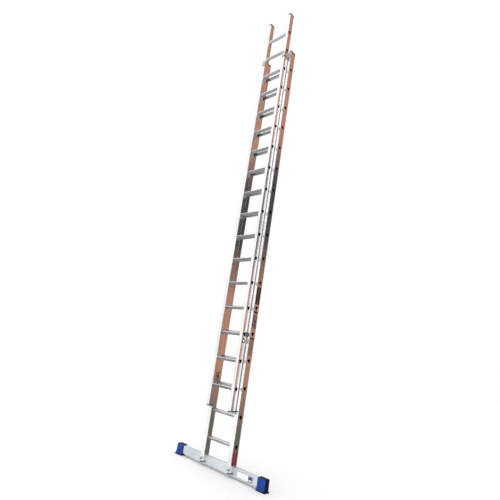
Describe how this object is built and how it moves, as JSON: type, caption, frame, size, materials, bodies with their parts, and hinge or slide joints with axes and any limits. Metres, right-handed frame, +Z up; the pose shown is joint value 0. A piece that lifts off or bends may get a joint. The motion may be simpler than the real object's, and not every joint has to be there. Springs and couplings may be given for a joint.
{
  "type": "extension ladder",
  "caption": "Two-section push-up extension ladder: hollow ribbed rungs in box stiles, a sliding fly with top guides and folding rung hooks, and a stabiliser bar with rubber feet.",
  "frame": {"origin": "centre of the bounding box's bottom face, on the surface that the feet stand on", "axes": "+Z up along the stiles, X along the rungs, +Y from the climber's side to the back"},
  "size_m": [1.176, 0.1536, 4.998],
  "materials": {
    "stile_aluminium": "mill finish, fine lengthwise extrusion lines",
    "rung_aluminium": "mill finish with a ribbed tread",
    "bar_aluminium": "pale ribbed extrusion, satin",
    "bracket_aluminium": "pressed sheet, satin",
    "zinc_steel": "zinc plated",
    "rivet_steel": "plain rivet heads",
    "grey_plastic": "moulded, fine texture",
    "teal_plastic": "moulded, fine texture",
    "pad_plastic": "moulded, satin",
    "blue_plastic": "moulded, satin",
    "black_rubber": "moulded rubber"
  },
  "bodies": {
    "base": {"base_stile_left": "stile_aluminium", "base_stile_right": "stile_aluminium", "base_rung_01": "rung_aluminium", "base_rung_02": "rung_aluminium", "base_rung_03": "rung_aluminium", "base_rung_04": "rung_aluminium", "base_rung_05": "rung_aluminium", "base_rung_06": "rung_aluminium", "base_rung_07": "rung_aluminium", "base_rung_08": "rung_aluminium", "base_rung_09": "rung_aluminium", "base_rung_10": "rung_aluminium", "base_rung_11": "rung_aluminium", "base_rung_12": "rung_aluminium", "base_rung_13": "rung_aluminium", "base_rung_14": "rung_aluminium", "base_rung_15": "rung_aluminium", "base_rung_16": "rung_aluminium", "base_rung_17": "rung_aluminium", "base_top_plugs": "grey_plastic", "base_tongue_plugs": "teal_plastic", "top_guide_left": "bracket_aluminium", "top_guide_right": "bracket_aluminium", "top_guide_rivets": "rivet_steel", "stabiliser_bar": "bar_aluminium", "stabiliser_bolts": "zinc_steel", "stabiliser_nuts": "zinc_steel", "rubber_foot_left": "black_rubber", "rubber_foot_right": "black_rubber", "foot_cover_left": "blue_plastic", "foot_cover_right": "blue_plastic"},
    "fly": {"fly_stile_left": "stile_aluminium", "fly_stile_right": "stile_aluminium", "fly_rung_01": "rung_aluminium", "fly_rung_02": "rung_aluminium", "fly_rung_03": "rung_aluminium", "fly_rung_04": "rung_aluminium", "fly_rung_05": "rung_aluminium", "fly_rung_06": "rung_aluminium", "fly_rung_07": "rung_aluminium", "fly_rung_08": "rung_aluminium", "fly_rung_09": "rung_aluminium", "fly_rung_10": "rung_aluminium", "fly_rung_11": "rung_aluminium", "fly_rung_12": "rung_aluminium", "fly_rung_13": "rung_aluminium", "fly_rung_14": "rung_aluminium", "fly_rung_15": "rung_aluminium", "fly_rung_16": "rung_aluminium", "fly_rung_17": "rung_aluminium", "fly_top_plugs": "grey_plastic", "fly_foot_plugs": "teal_plastic", "guide_pad_left": "pad_plastic", "guide_pad_right": "pad_plastic", "hook_bracket_left": "zinc_steel", "hook_bracket_right": "zinc_steel", "hook_pins": "rivet_steel", "fly_rivets": "rivet_steel"},
    "hook_left": {"rung_hook_left": "zinc_steel"},
    "hook_right": {"rung_hook_right": "zinc_steel"}
  },
  "joints": [
    {"name": "fly_slide", "type": "slide", "parent": "base", "child": "fly", "axis": [0, 0, 1], "range_m": [0, 2.75]},
    {"name": "hook_left_pivot", "type": "hinge", "parent": "fly", "child": "hook_left", "pos_m": [-0.1255, -0.00225, 0.78], "axis": [1, 0, 0], "range_deg": [-110, 0]},
    {"name": "hook_right_pivot", "type": "hinge", "parent": "fly", "child": "hook_right", "pos_m": [0.1255, -0.00225, 0.78], "axis": [1, 0, 0], "range_deg": [-110, 0]}
  ]
}
